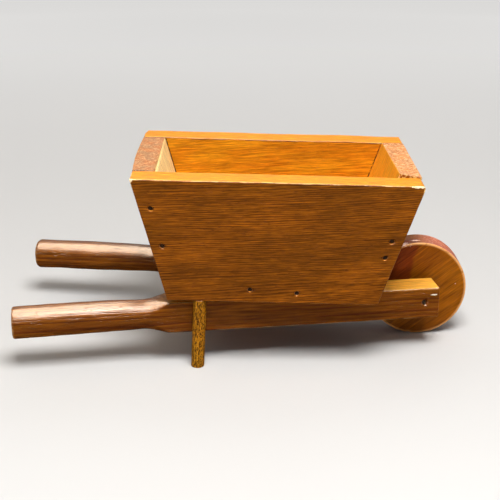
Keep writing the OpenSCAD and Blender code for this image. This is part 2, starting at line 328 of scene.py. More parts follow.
    # chips and painted glints: pale ragged ellipsoids; on the near rail's nose and on the wheel rim's top left
    # they are painted highlights
    for middle, size in look["chips"]:
        away = vector("MULTIPLY", vector("SUBTRACT", where, [a * mm for a in middle]),
                      [1 / (a * mm) for a in size])
        ragged = maths("ADD", vector("LENGTH", away), maths("MULTIPLY", speckle, look["chipRough"]))
        shift = look["chipRough"] * 0.5
        mask = add("MapRange", {0: ragged, 1: 1 + shift, 2: 1 - surface["markSoft"] + shift}).outputs[0]
        wood = mix(mask, wood, colour("chip"))

    rough = maths("MULTIPLY_ADD", fibre, surface["fibreRough"], look["rough"] - surface["fibreRough"] / 2)
    rough = maths("ADD", rough, maths("MULTIPLY", endMask, surface["endRough"]))
    height = maths("MULTIPLY_ADD", fibre, surface["fibreHeight"],
                   maths("MULTIPLY", lines, surface["ringHeight"]))
    height = maths("MULTIPLY_ADD", fleck, surface["fleckHeight"], height)
    height = maths("MULTIPLY_ADD", dash, surface["dashHeight"], height)
    height = maths("MULTIPLY_ADD", maths("MULTIPLY", speckle, endMask), surface["endHeight"], height)
    bump = add("Bump", {"Height": height, "Strength": look["bump"],
                        "Distance": surface["bumpDepth"] * mm}).outputs[0]
    shader = add("BsdfPrincipled", {"Base Color": wood, "Roughness": rough, "Normal": bump,
                                    "Specular IOR Level": look["specular"],
                                    "Coat Weight": look["coat"], "Coat Roughness": look["coatRough"],
                                    "Coat Normal": bump})
    tree.links.new(shader.outputs[0], add("OutputMaterial").inputs[0])
    return material


baseSteel = {
    "blotch": 900.0, "rustFrom": 0.42, "rustTo": 0.6, "bareRough": 0.32, "rustRough": 0.7,
    "bump": 0.5, "bumpDepth": 0.1, "metallic": 0.1, "specular": 0.25,
}


def steelMaterial(name, look):
    # Dull nail steel: one noise turns it brown in blotches, and roughens and lifts them
    material, tree, add = makeTree(name)
    where = add("TexCoord").outputs["Object"]
    rust = add("TexNoise", {"Vector": where, "Scale": look["blotch"], "Detail": 3.0,
                            "Roughness": 0.6}).outputs[0]
    mask = add("MapRange", {0: rust, 1: look["rustFrom"], 2: look["rustTo"]}).outputs[0]
    tint = add("Mix", {0: mask, 6: (*look["steel"], 1), 7: (*look["rust"], 1)}, data_type="RGBA").outputs[2]
    rough = add("MapRange", {0: mask, 3: look["bareRough"], 4: look["rustRough"]}).outputs[0]
    bump = add("Bump", {"Height": rust, "Strength": look["bump"],
                        "Distance": look["bumpDepth"] * mm}).outputs[0]
    shader = add("BsdfPrincipled", {"Base Color": tint, "Metallic": look["metallic"],
                                    "Specular IOR Level": look["specular"],
                                    "Roughness": rough, "Normal": bump})
    tree.links.new(shader.outputs[0], add("OutputMaterial").inputs[0])
    return material


baseWood = {
    "turn": (0, 0, 0), "grainWay": (1, 0, 0), "pith": (0, 0, 60),
    "plain": (0.20, 0.057, 0.0009), "patch": (0.29, 0.079, 0.0013), "patchScale": 0.055,
    "streak": (0.12, 0.032, 0.0006), "streakAmount": 0.5,
    "late": (0.08, 0.019, 0.0004), "ringGap": 1.3, "ringUneven": 1.6, "ringAmount": 1.0,
    "dash": (0.05, 0.010, 0.001), "dashFrom": 0.62, "dashAmount": 0.45, "dashStretch": 0.13, "dashScale": 2.1,
    "bend": 9.0, "wiggle": 3.2, "fibreAmount": 2.0,
    "fleckAmount": 1.5, "fleckStretch": 0.10, "fleckScale": 1.25,
    "endPlain": (0.42, 0.17, 0.07), "endPatch": (0.30, 0.10, 0.045), "endLate": (0.18, 0.06, 0.02),
    "endRing": 0.25, "endRough": 1.6, "endSpeck": (0.85, 0.62, 0.42), "endSpecks": 0.0,
    # the third colour on the next line is a painted shadow: the tray's shadow on the wheel
    "dirt": (0.05, 0.018, 0.006), "seams": (), "stain": (0.18, 0.031, 0.003), "inside": None,
    "chips": (), "chip": (0.95, 0.85, 0.62), "chipRough": 1.2,
    # painted top light: a lighter, yellower colour for upward faces, the normal's range over which it comes in,
    # how much, how much less on end grain, and where
    "top": (0.86, 0.29, 0.003), "topFrom": 0.75, "topTo": 0.95,
    "topLightAmount": 0.0, "topLightEndOff": 0.0, "topLightWhere": "",
    "wear": (0.95, 0.62, 0.22), "wearFrom": 0.42, "wearAmount": 0.8,
    "rough": 0.42, "specular": 0.07, "coat": 0.10, "coatRough": 0.2, "bump": 0.5,
}


def wood(name, **changes):
    # The base look with some of its values changed
    return woodMaterial(name, {**baseWood, **changes})


tray = {
    "bottomFront": (79.426, 0, 39.95),  # front bottom edge, where it rests on the rails
    "tilt": 1.5, "bottomLength": 123.3, "height": 73.2,
    "rearSlope": 16.5, "frontSlope": 17.5,
    "innerHalf": 40.2, "outerHalf": 58.0,
    "endThickness": 13.3, "floorThickness": 13.3,
    "frontCorner": 2.6, "edge": 0.75, "edgeBand": 1.6,  # finer grid lines in the band
    "frontProud": 2.1,
    "brads": ((-52.02, 99.41), (-45.94, 76.74), (85.94, 79.29), (82.53, 69.38),
              (4.46, 49.72), (31.90, 47.40)),
    "bradHole": 1.3, "bradLong": 1.35, "bradDepth": 1.25,
}
rearRun = np.tan(radians(tray["rearSlope"]))
frontRun = np.tan(radians(tray["frontSlope"]))
rearEnd = tray["endThickness"] / np.cos(radians(tray["rearSlope"]))
frontEnd = tray["endThickness"] / np.cos(radians(tray["frontSlope"]))
tiltSin, tiltCos = np.sin(radians(tray["tilt"])), np.cos(radians(tray["tilt"]))


def trayToWorld(points):
    # Tray frame (along, across, up from the front bottom edge) turned nose down by the tilt
    x, y, z = points.T
    return np.stack([tray["bottomFront"][0] + x * tiltCos + z * tiltSin, y,
                     tray["bottomFront"][2] - x * tiltSin + z * tiltCos], 1)


def worldToTray(x, z):
    # Distance along the tray and height above its bottom, for a point of the middle plane
    x, z = x - tray["bottomFront"][0], z - tray["bottomFront"][2]
    return x * tiltCos - z * tiltSin, x * tiltSin + z * tiltCos


def slopedEnds(height, rearInset=0.0, frontInset=0.0):
    # Distances along the tray at which its rear and front slopes stand at a height
    return (rearInset - tray["bottomLength"] - height * rearRun, height * frontRun - frontInset)


plank = {  # the side boards
    "edgeWave": 16, "faceWave": 55, "faceSlack": 0.22, "outerFrom": 4,
    "topWave": 48, "topSlack": 1.6, "topFrom": 40,  # slack as a share of the face's
    "farCorner": 0.4,  # the far board's front corner, as a share of the near one's
    "farCut": 3.2, "cutShare": 0.45, "cutAcross": 0.45, "cutAlong": 8, "cutFrom": 0.7,
    "rimFrom": 0.85, "lowWear": 0.25, "cornerWear": 3, "cornerAll": 1.5, "cornerNone": 5.5, "cornerOver": 0.25,
}


def sideBoard(name, side, seed, material):
    # A block of the top length, eased along its edges, its top front corner rounded, squeezed at each height
    # to lie between the two slopes, hollowed at each brad, and made slightly uneven by long waves. The far
    # board's top rear corner is cut back, most on the outside. Wear is full on the rim and extra at its ends
    # on the near board
    topRear, topFront = slopedEnds(tray["height"])
    length = topFront - topRear
    nails = []
    for x, z in tray["brads"]:
        along, up = worldToTray(x, z)
        rear, front = slopedEnds(up)
        nails.append(((along - rear) / (front - rear) * length, up))
    low = np.array([0, tray["innerHalf"], 0.0])
    high = np.array([length, tray["outerHalf"], tray["height"]])
    if side < 0:
        low[1], high[1] = -high[1], -low[1]
    edges = (tray["edge"], tray["edgeBand"])
    xs = gridLines(low[0], high[0], grid["step"], edges, nailSpots(a for a, _ in nails))
    ys = gridLines(low[1], high[1], grid["sideThrough"], edges)
    zs = gridLines(low[2], high[2], grid["step"], edges, nailSpots(h for _, h in nails))
    points, quads = latticeSkin(xs, ys, zs)
    outer = np.isclose(np.abs(points[:, 1]), tray["outerHalf"])
    hollow = sum(dent(np.hypot((points[:, 0] - a) / tray["bradLong"], points[:, 2] - h),
                      tray["bradHole"], tray["bradDepth"]) for a, h in nails)
    radius = handEdge(points, seed, tray["edge"], plank["edgeWave"])
    points, wear = easeEdges(points, low, high, radius)

    corner = tray["frontCorner"] * (1 if side < 0 else plank["farCorner"])
    start = high[[0, 2]] - corner
    reach = points[:, [0, 2]] - start
    inCorner = (reach > 0).all(1)
    longest = np.maximum(reach.max(1), 1e-9)
    shrink = np.where(inCorner, longest / np.maximum(np.linalg.norm(reach, axis=1), 1e-9), 1)
    points[:, [0, 2]] = np.where(inCorner[:, None], start + reach * shrink[:, None], points[:, [0, 2]])

    rear, front = slopedEnds(points[:, 2])
    flat = points.copy()
    points[:, 0] = rear + points[:, 0] / length * (front - rear)
    slack = plank["faceSlack"] * waves(flat, seed + 1, plank["faceWave"])
    middle = (low + high) / 2
    onOuter = np.abs(points[:, 1]) > tray["innerHalf"] + plank["outerFrom"]
    points[:, 1] -= np.sign(points[:, 1] - middle[1]) * slack * onOuter
    points[:, 1] -= side * np.where(outer, hollow, 0)
    slack = plank["faceSlack"] * plank["topSlack"] * waves(flat, seed + 2, plank["topWave"])
    points[:, 2] -= slack * smooth(plank["topFrom"], tray["height"], points[:, 2])

    onRim = smooth(plank["rimFrom"] * tray["height"], tray["height"], flat[:, 2])
    corners = [np.hypot(flat[:, 0] - a, flat[:, 2] - tray["height"]) for a in (0, length)]
    nearCorner = 1 - smooth(plank["cornerAll"], plank["cornerNone"], np.minimum(*corners))
    extra = plank["cornerWear"] * nearCorner * (wear > plank["cornerOver"]) * (side < 0)
    wear = wear * (plank["lowWear"] + (1 - plank["lowWear"]) * onRim) + extra
    if side > 0:
        outward = smooth(plank["cutAcross"], 1, (flat[:, 1] - low[1]) / (high[1] - low[1]))
        cutBack = plank["farCut"] * outward ** 2 * plank["cutShare"]
        upward = smooth(plank["cutFrom"], 1, flat[:, 2] / tray["height"])
        points[:, 0] += cutBack * (1 - smooth(0, plank["cutAlong"], flat[:, 0])) * upward
    node = "right_side_board" if side < 0 else "left_side_board"
    inner = np.isclose(np.abs(flat[:, 1]), tray["innerHalf"])
    return putMesh(name, trayToWorld(points), quads, node=node, slot="side_board_wood", material=material,
                   wear=wear, inner=inner)


slab = {  # the end boards and the floor
    "edgeWave": 14, "slight": 0.01, "grime": 1.6, "grimeBand": 0.6, "frontGrime": 0.45,
    "wornFrom": 0.4, "wornAll": 0.7, "proudFrom": 0.9, "proudWear": 1.5, "liftFrom": 0.8, "crownTo": 0.8,
    "topWave": 22, "topSlack": 0.25, "topFrom": 0.85,
}


def slopedBoard(name, node, slot, material, seed, bottom, top, height, edge, inside=1,
                rise=0.0, worn=0.0, crown=0.0, spots=()):
    # A block eased along its edges and leaned: its bottom lies from bottom[0] to bottom[1] along the tray and
    # its top from top[0] to top[1]. rise lifts the top's inner corner on the right, worn is extra rounding
    # along the inner top edge, most on the right, and crown bulges the outer face by a parabola across the
    # tray. The tray's inside is at the board's front, or at its rear where inside is 0. Grime lies along both
    # side edges, and the lifted corner is bare
    halfWidth, grime = tray["innerHalf"], slab["grime"]
    low = np.array([0.0, -halfWidth, 0.0])
    high = np.array([bottom[1] - bottom[0], halfWidth, height])
    edges = (edge, grime, grime + slab["grimeBand"], edge + worn)
    xs = gridLines(low[0], high[0], grid["endThrough"], edges, nailSpots(a for a, _ in spots))
    ys = gridLines(low[1], high[1], grid["step"], edges, nailSpots(b for _, b in spots))
    zs = gridLines(low[2], high[2], grid["step"], edges)
    points, quads = latticeSkin(xs, ys, zs)
    onTop = np.isclose(points[:, 2], height)
    hollow = sum((dent(np.hypot(points[:, 0] - a, points[:, 1] - b), tray["bradHole"], tray["bradDepth"])
                  for a, b in spots), np.zeros(len(points)))
    share = points[:, 0] / high[0]
    across = (points[:, 1] + halfWidth) / (2 * halfWidth)
    extra = worn * smooth(slab["wornFrom"], slab["wornAll"], share) * (1 - smooth(0.1, 0.9, across))
    radius = handEdge(points, seed, edge, slab["edgeWave"]) + extra * (points[:, 2] > height / 2)
    flat = points.copy()
    points, wear = easeEdges(points, low, high, radius)

    sideways = np.abs(flat[:, 1]) + slab["slight"]
    atSide = sideways > halfWidth - edge
    proudEnd = atSide & (flat[:, 1] < 0) & (flat[:, 2] > slab["proudFrom"] * height) & (rise > 0)
    dirt = (sideways > halfWidth - grime) & ~proudEnd
    dirt = dirt * (slab["frontGrime"] if rise else 1.0)
    wear = np.where(atSide, proudEnd * slab["proudWear"], wear)

    points[:, 2] -= np.where(onTop, hollow, 0)
    share = points[:, 0] / high[0]
    lifted = smooth(slab["liftFrom"] * height, height, points[:, 2])
    lift = rise * np.clip(1 - share - across, 0, 1) * lifted
    up = points[:, 2] / height
    rear = bottom[0] + (top[0] - bottom[0]) * up
    front = bottom[1] + (top[1] - bottom[1]) * up
    lean = (top[1] - bottom[1]) / height
    points[:, 0] = rear + (front - rear) * share + lift * lean
    points[:, 0] -= crown * (1 - share) * (1 - (2 * across - 1) ** 2) * smooth(0, slab["crownTo"], up)
    slack = slab["topSlack"] * waves(points, seed + 1, slab["topWave"]) * (rise == 0)
    points[:, 2] += lift - slack * smooth(slab["topFrom"] * height, height, points[:, 2])
    return putMesh(name, trayToWorld(points), quads, node=node, slot=slot, material=material,
                   wear=wear, dirt=dirt, inner=np.isclose(flat[:, 0], inside * high[0]))


def seamPlane(slope, inset):
    # Unit normal and offset of the plane in which an end board's inner face lies;
    # slope is signed, from upright
    lean = radians(slope + tray["tilt"])
    normal = np.array([np.cos(lean), 0, -np.sin(lean)])
    foot = trayToWorld(np.array([[inset, 0, 0]]))[0]
    return tuple(normal), normal @ foot


print("boards")
top = tray["height"]
rearBottom, frontBottom = slopedEnds(0)
rearTop, frontTop = slopedEnds(top)
joints = (seamPlane(-tray["rearSlope"], rearEnd - tray["bottomLength"]),
          seamPlane(tray["frontSlope"], -frontEnd))
# painted light: brighter copies of the wood for the tray's inner faces, standing in for the light inside the
# tray (gold on the side boards, cream on the rear board, orange on the front board)
goldLitInside = {"plain": (0.62, 0.215, 0.005), "patch": (0.72, 0.30, 0.008),
              "streak": (0.51, 0.15, 0.004), "late": (0.46, 0.13, 0.003)}
creamLitInside = {"plain": (0.98, 0.86, 0.42), "patch": (0.97, 0.76, 0.33),
               "streak": (0.93, 0.68, 0.26), "late": (0.88, 0.60, 0.22)}
orangeLitInside = {"plain": (1.0, 0.38, 0.016), "patch": (1.0, 0.44, 0.022),
                "streak": (0.95, 0.34, 0.013), "late": (0.92, 0.32, 0.012)}
# the rims get the painted top light, less on their end grain
sideLook = {"turn": (0, 2.5, 0), "topLightAmount": 0.9, "topLightEndOff": 0.9, "seams": joints, "inside": goldLitInside,
            "endPlain": (0.34, 0.13, 0.03), "endPatch": (0.25, 0.085, 0.02), "endLate": (0.13, 0.04, 0.01),
            "endRing": 0.7}
rimEnds = trayToWorld(np.array([[frontTop - 3.5, -tray["outerHalf"], top - 0.4],
                                [rearTop + 0.6, -tray["outerHalf"], top - 0.8]]))
nearBoardWood = wood("nearBoardWood", **sideLook, pith=(0, 52, 65), wearAmount=0.6, chipRough=2.0,
                     chip=(0.92, 0.70, 0.40),
                     chips=((tuple(rimEnds[0]), (5.5, 1.6, 0.9)), (tuple(rimEnds[1]), (1.6, 1.5, 1.5))))
farBoardWood = wood("farBoardWood", **sideLook, pith=(400, -30, 80), ringAmount=0.3, streakAmount=0.55,
                    ringGap=2.6, dashAmount=0.2, fleckStretch=0.08, fleckAmount=1.0, wiggle=1.2,
                    wearAmount=0.12)
sideBoard("nearSideBoard", -1, 11, nearBoardWood)
sideBoard("farSideBoard", 1, 23, farBoardWood)

rearBoardWood = wood("rearBoardWood", grainWay=(-0.28, 0, 0.96), turn=(0, 106, 0), pith=(0, 10, 30),
                     inside=creamLitInside, dashAmount=0.1, dash=(0.16, 0.05, 0.01), ringAmount=0.35,
                     endSpecks=0.55, endRough=1.8, endPlain=(0.44, 0.13, 0.025),
                     endPatch=(0.34, 0.16, 0.065), endSpeck=(0.82, 0.46, 0.21))
frontBoardWood = wood("frontBoardWood", grainWay=(0.28, 0, 0.96), turn=(0, 74, 0), pith=(0, 10, -30),
                      inside=orangeLitInside, dashAmount=0.15, dash=(0.16, 0.04, 0.005),
                      ringAmount=0.35, streakAmount=0.3, fleckAmount=1.0, fibreAmount=1.0,
                      endSpecks=0.8, endRough=1.8, endPlain=(0.66, 0.22, 0.045),
                      endPatch=(0.50, 0.17, 0.045), endSpeck=(0.93, 0.58, 0.30))
floorWood = wood("floorWood", turn=(0, 1.5, 0), pith=(200, 5, 20), ringAmount=0.6, streakAmount=0.3,
                 dashAmount=0.1, plain=(0.72, 0.24, 0.008), patch=(0.62, 0.20, 0.007),
                 late=(0.42, 0.12, 0.004))
slopedBoard("rearEndBoard", "rear_end_board", "end_board_wood", rearBoardWood, 31,
            (rearBottom, rearBottom + rearEnd), (rearTop, rearTop + rearEnd), top, 0.7, worn=1.7, crown=1.1)
slopedBoard("frontEndBoard", "front_end_board", "end_board_wood", frontBoardWood, 37,
            (frontBottom - frontEnd, frontBottom), (frontTop - frontEnd, frontTop), top, 0.6, inside=0,
            rise=tray["frontProud"])
floorTop = tray["floorThickness"]
floorRear, floorFront = slopedEnds(0, rearEnd, frontEnd)
floorTopRear, floorTopFront = slopedEnds(floorTop, rearEnd, frontEnd)
floorNails = []
for node in ("right_rail_nail_rear", "right_rail_nail_front", "left_rail_nail_rear", "left_rail_nail_front"):
    nailLow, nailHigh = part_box(node)
    middle = (nailLow + nailHigh) / 2 / mm
    along, up = worldToTray(middle.x + (nailHigh.z / mm - middle.z) * tiltSin, nailHigh.z / mm)
    share = (along - floorTopRear) / (floorTopFront - floorTopRear)
    floorNails.append((share * (floorFront - floorRear), middle.y))
slopedBoard("floorBoard", "floor_board", "floor_board_wood", floorWood, 41,
            (floorRear, floorFront), (floorTopRear, floorTopFront), floorTop, 0.4, spots=floorNails)


rail = {
    "halfThick": 8.8, "halfHeight": 9.75, "angle": 8.2857, "axleY": 22.893, "midZ": 30.2, "axleX": 110.686,
    "nose": 8.9, "rightReach": 248.3, "leftReach": 253.7,
    "handleRadius": 9.3, "neckRadius": 8.9, "neckAt": 172.86, "shoulder": 18.0, "straight": 0.35,
    "edge": 1.0, "edgeWave": 18, "noseEnd": 0.8,
    "nailUp": 0.5, "nailHole": 1.9, "nailDepth": 1.25,
    "carving": 0.3, "carvingWave": 21, "crossScale": 9, "soft": 0.22, "roundBy": 0.4,
    "oval": 0.5, "rightDroop": 1.0, "leftDroop": 0.6, "rightHandleEnd": 1.5, "leftHandleEnd": 2.6,
    "neckLines": (9, 12, 0.7), "nailReach": 2.6, "nailStep": 0.35,
    "crossLines": (0, .12, .24, .36, .48, .6, .68, .733, .77, .805,
                   .84, .867, .888, .91, .93, .95, .965, .98, 1),
}


def railBar(name, side, reach, seed, material):
    # Square section with eased edges, limited in every direction by a radius along the rail (handle, neck,
    # hollow shoulder), the smaller of the two taken softly. The handle is a little taller than wide, has
    # carving waves, and droops by the square of the distance behind the neck. Each end is rolled over by a
    # quarter circle, which is worn at the handle
    half = np.array([rail["halfThick"], rail["halfHeight"]])
    neck, sweep = -rail["neckAt"], rail["shoulder"]
    handleEnd = rail["rightHandleEnd"] if side < 0 else rail["leftHandleEnd"]
    droop = rail["rightDroop"] if side < 0 else rail["leftDroop"]
    ahead, neckReach, neckStep = rail["neckLines"]
    spots = [(neck + ahead, neckReach, neckStep), (0, rail["nailReach"], rail["nailStep"])]
    noseLines = rail["nose"] - rail["noseEnd"] * (1 - np.tan(edgeTurns))
    xs = np.concatenate([gridLines(-reach, rail["nose"], grid["alongRail"], handleEnd, spots), noseLines])
    xs = np.unique(np.round(xs, 3))
    shares = np.array(rail["crossLines"])
    shares = np.concatenate([-shares[:0:-1], shares])
    nailLines = np.arange(-rail["nailReach"], rail["nailReach"] + 0.01, rail["nailStep"])
    nailShares = (rail["nailUp"] + nailLines) / rail["halfHeight"]
    zs = np.unique(np.round(np.concatenate([shares, nailShares]), 4))
    points, quads = latticeSkin(xs, shares, zs)
    crossed = points * [1, rail["crossScale"], rail["crossScale"]]
    x = points[:, 0]
    share = np.abs(points[:, 1:]).max(1)
    flat = np.where(share[:, None] > 0, points[:, 1:] / np.maximum(share, 1e-9)[:, None], [1, 0])
    square = flat * half
    radius = handEdge(crossed, seed, rail["edge"], rail["edgeWave"])[:, None]
    core = np.clip(square, radius - half, half - radius)
    out = square - core
    out /= np.linalg.norm(out, axis=1)[:, None]
    section = core + out * radius
    wear = np.clip((1 - np.abs(out).max(1)) / eighthTurn, 0, 1)

    cornerRadius = np.hypot(*half) + 1
    lift = cornerRadius - rail["neckRadius"]
    sweepRadius = (sweep ** 2 + lift ** 2) / (2 * lift)
    into = np.clip(x - neck, 0, sweep)
    hollow = rail["neckRadius"] + sweepRadius - np.sqrt(sweepRadius ** 2 - into ** 2)
    taper = smooth(-reach + rail["straight"] * (reach + neck), neck, x)
    handle = rail["handleRadius"] + (rail["neckRadius"] - rail["handleRadius"]) * taper
    limit = np.where(x < neck, handle, hollow)
    upright = np.abs(flat[:, 1]) * rail["halfHeight"] / np.linalg.norm(square, axis=1)
    limit = limit + rail["oval"] * upright ** 2 * (1 - smooth(neck - 20, neck + 6, x))
    limit = np.where(x > neck + sweep, 99, limit)  # past the shoulder nothing limits the square
    carving = rail["carving"] * waves(crossed, seed + 1, rail["carvingWave"])
    limit = limit - np.where(x < neck + 8, carving, 0)
    size = np.linalg.norm(section, axis=1)
    gap = np.clip((limit - size) / rail["soft"], -40, 40)
    limited = size - rail["soft"] * np.log1p(np.exp(-gap))
    roundness = 1 - np.clip((size - limited) / rail["roundBy"], 0, 1)
    section *= (limited / size)[:, None]

    wear *= roundness
    # where the rail is square: only there is the painted top light used
    squareTop = smooth(neck + 0.4 * sweep, neck + sweep + 4, x)
    inset = (1 - share) * limited
    for end, way, roll in ((-reach, -1, handleEnd), (rail["nose"], 1, rail["noseEnd"])):
        beyond = np.clip((x - end) * way + roll, 0, None)
        within = np.clip(roll - inset, 0, None)
        length = np.maximum(np.hypot(beyond, within), 1e-9)
        rolled = (beyond > 0)
        x = np.where(rolled, end + way * (roll * beyond / length - roll), x)
        inset = np.where(rolled & (within > 0), roll - roll * within / length, inset)
        worn = smooth(0, 1, np.minimum(beyond, within) / roll) * (way < 0)
        wear = np.where(rolled & (within > 0), np.maximum(wear * (way < 0), worn), wear)
    section *= (1 - inset / limited)[:, None]

    outerFace = (section[:, 0] * side > rail["halfThick"] - 0.3)
    hole = dent(np.hypot(x, section[:, 1] - rail["nailUp"]), rail["nailHole"], rail["nailDepth"])
    section[:, 0] -= side * np.where(outerFace, hole, 0)
    turn = radians(rail["angle"]) * -side
    section[:, 1] -= droop * np.clip((neck - x) / (reach + neck), 0, 1) ** 2
    world = np.stack([rail["axleX"] + x * np.cos(turn) - section[:, 0] * np.sin(turn),
                      side * rail["axleY"] + x * np.sin(turn) + section[:, 0] * np.cos(turn),
                      rail["midZ"] + section[:, 1]], 1)
    node = "right_rail" if side < 0 else "left_rail"
    return putMesh(name, world, quads, node=node, slot="rail_wood", material=material,
                   wear=wear, square=squareTop)


print("rails")
# the rails' square tops get the painted top light
railLook = {"plain": (0.20, 0.055, 0.0010), "patch": (0.26, 0.075, 0.0014), "late": (0.09, 0.014, 0.001),
            "ringGap": 2.3, "ringAmount": 0.85, "fleckStretch": 0.05, "fleckAmount": 1.1, "dashAmount": 0.15,
            "wiggle": 1.2, "top": (1.0, 0.45, 0.045), "topLightWhere": "square", "topFrom": 0.86, "topTo": 0.96,
            "topLightAmount": 1.0, "topLightEndOff": 0.5, "coat": 0.6, "coatRough": 0.13, "rough": 0.45,
            "bump": 0.75, "wearAmount": 0.35, "endPlain": (0.40, 0.14, 0.04), "endPatch": (0.28, 0.09, 0.03)}
# the mark near the near rail's nose is a real chip with a painted glint: its pale colour stands in for light
# off the varnish
nearRailWood = wood("nearRailWood", **railLook, turn=(0, 0, -rail["angle"]), grainWay=(0.99, 0.143, 0),
                    pith=(70, 9, -70), chips=(((117.2, -30.8, 35.6), (2.5, 2.0, 0.45)),))
farRailWood = wood("farRailWood", **railLook, turn=(0, 0, rail["angle"]), grainWay=(0.99, -0.143, 0),
                   pith=(900, -14, -52))
railBar("nearRail", -1, rail["rightReach"], 51, nearRailWood)
railBar("farRail", 1, rail["leftReach"], 63, farRailWood)


leg = {
    "radius": 3.95, "foot": (-26.693, 55.575), "head": (-24.83, 54.456), "headHeight": 42.68,
    "edge": 0.5, "lumps": 0.16, "lumpSize": 9, "around": 48, "rings": 46,
}


def closedLathe(rings, around):
    # rings x around points of a tube, with the first and last ring closed by a fan to a middle point
    count = rings * around
    ringIndex = np.arange(rings - 1)[:, None] * around
    here = np.arange(around)[None, :]
    after = (here + 1) % around
    quads = np.stack([ringIndex + here, ringIndex + after,
                      ringIndex + around + after, ringIndex + around + here], -1)
    here, after = here.ravel(), after.ravel()
    last = (rings - 1) * around
    bottom = np.stack([after, here, np.full(around, count)], 1)
    topFan = np.stack([last + here, last + after, np.full(around, count + 1)], 1)
    return quads.reshape(-1, 4), [bottom, topFan]


def dowelLeg(name, side, seed, material):
    # Circle carried up the leg's line, its radius lessened by slow lumps and rolled in at the foot;
    # the foot is cut level and the head along the tray's underside
    around, rings, edge, height = leg["around"], leg["rings"], leg["edge"], leg["headHeight"]
    roll = np.radians(np.linspace(0, 90, 5))
    foot = np.stack([leg["radius"] - edge + edge * np.sin(roll), edge - edge * np.cos(roll)], 1)
    middle = np.stack([np.full(rings, leg["radius"]), np.linspace(edge + 0.8, height - 0.8, rings)], 1)
    inner = np.stack([leg["radius"] * np.array([0.3, 0.6]), [0, 0]], 1)
    head = np.array([[leg["radius"], height], [leg["radius"] * 0.5, height]])
    profile = np.concatenate([inner, foot, middle, head])
    angle = np.linspace(0, 2 * np.pi, around, endpoint=False)
    circle = np.stack([np.cos(angle), np.sin(angle)], 1)
    up = np.repeat(profile[:, 1], around)
    flat = np.stack([np.tile(circle[:, 0] * 4, len(profile)), np.tile(circle[:, 1] * 4, len(profile)), up], 1)
    lumps = 1 - leg["lumps"] / leg["radius"] * waves(flat * [1, 1, 0.5], seed, leg["lumpSize"])
    ring = (circle[None] * profile[:, 0, None, None]).reshape(-1, 2) * lumps[:, None]
    share = up / height
    x = leg["foot"][0] + (leg["head"][0] - leg["foot"][0]) * share + ring[:, 0]
    y = side * (leg["foot"][1] + (leg["head"][1] - leg["foot"][1]) * share) + ring[:, 1]
    underside = tray["bottomFront"][2] + (tray["bottomFront"][0] - x) * tiltSin / tiltCos
    z = up * underside / height
    points = np.stack([x, y, z], 1)
    poles = np.stack([points[:around].mean(0), points[-around:].mean(0)])
    quads, fans = closedLathe(len(profile), around)
    node = "right_leg" if side < 0 else "left_leg"
    return putMesh(name, np.concatenate([points, poles]), quads, fans, node=node, slot="leg_wood",
                   material=material)


print("legs")
legWood = wood("legWood", turn=(0, 90, 0), grainWay=(0, 0, 1), pith=(0, 6, 9), ringGap=1.3, ringAmount=0.35,
               plain=(0.48, 0.205, 0.006), patch=(0.39, 0.15, 0.004), streak=(0.27, 0.095, 0.003),
               late=(0.32, 0.12, 0.004), dash=(0.07, 0.022, 0.001), dashFrom=0.49, dashAmount=0.9,
               dashStretch=0.4, dashScale=1.5, fleckStretch=0.5, fleckScale=1.3, fleckAmount=3.0,
               endPlain=(0.45, 0.22, 0.05), coat=0.15, bump=0.8)
dowelLeg("nearLeg", -1, 71, legWood)
dowelLeg("farLeg", 1, 73, legWood)


wheel = {
    "centre": (110.686, 0, 30.7), "radius": 30.7, "halfWidth": 8.6, "bore": 1.38, "edge": 0.9,
    "around": 240, "unround": 0.22, "unroundWave": 24, "nickAngle": -98.0, "nickDepth": 0.35, "nickHalf": 5.0,
    "faceWaves": 0.12, "faceWave": 30,
    # next: the painted shadow of the tray on the near face, its edge, fade, slant and waves
    "stainEdge": -5.2, "stainFade": 1.6, "stainSlant": 0.19, "stainWaves": 2.5,
}


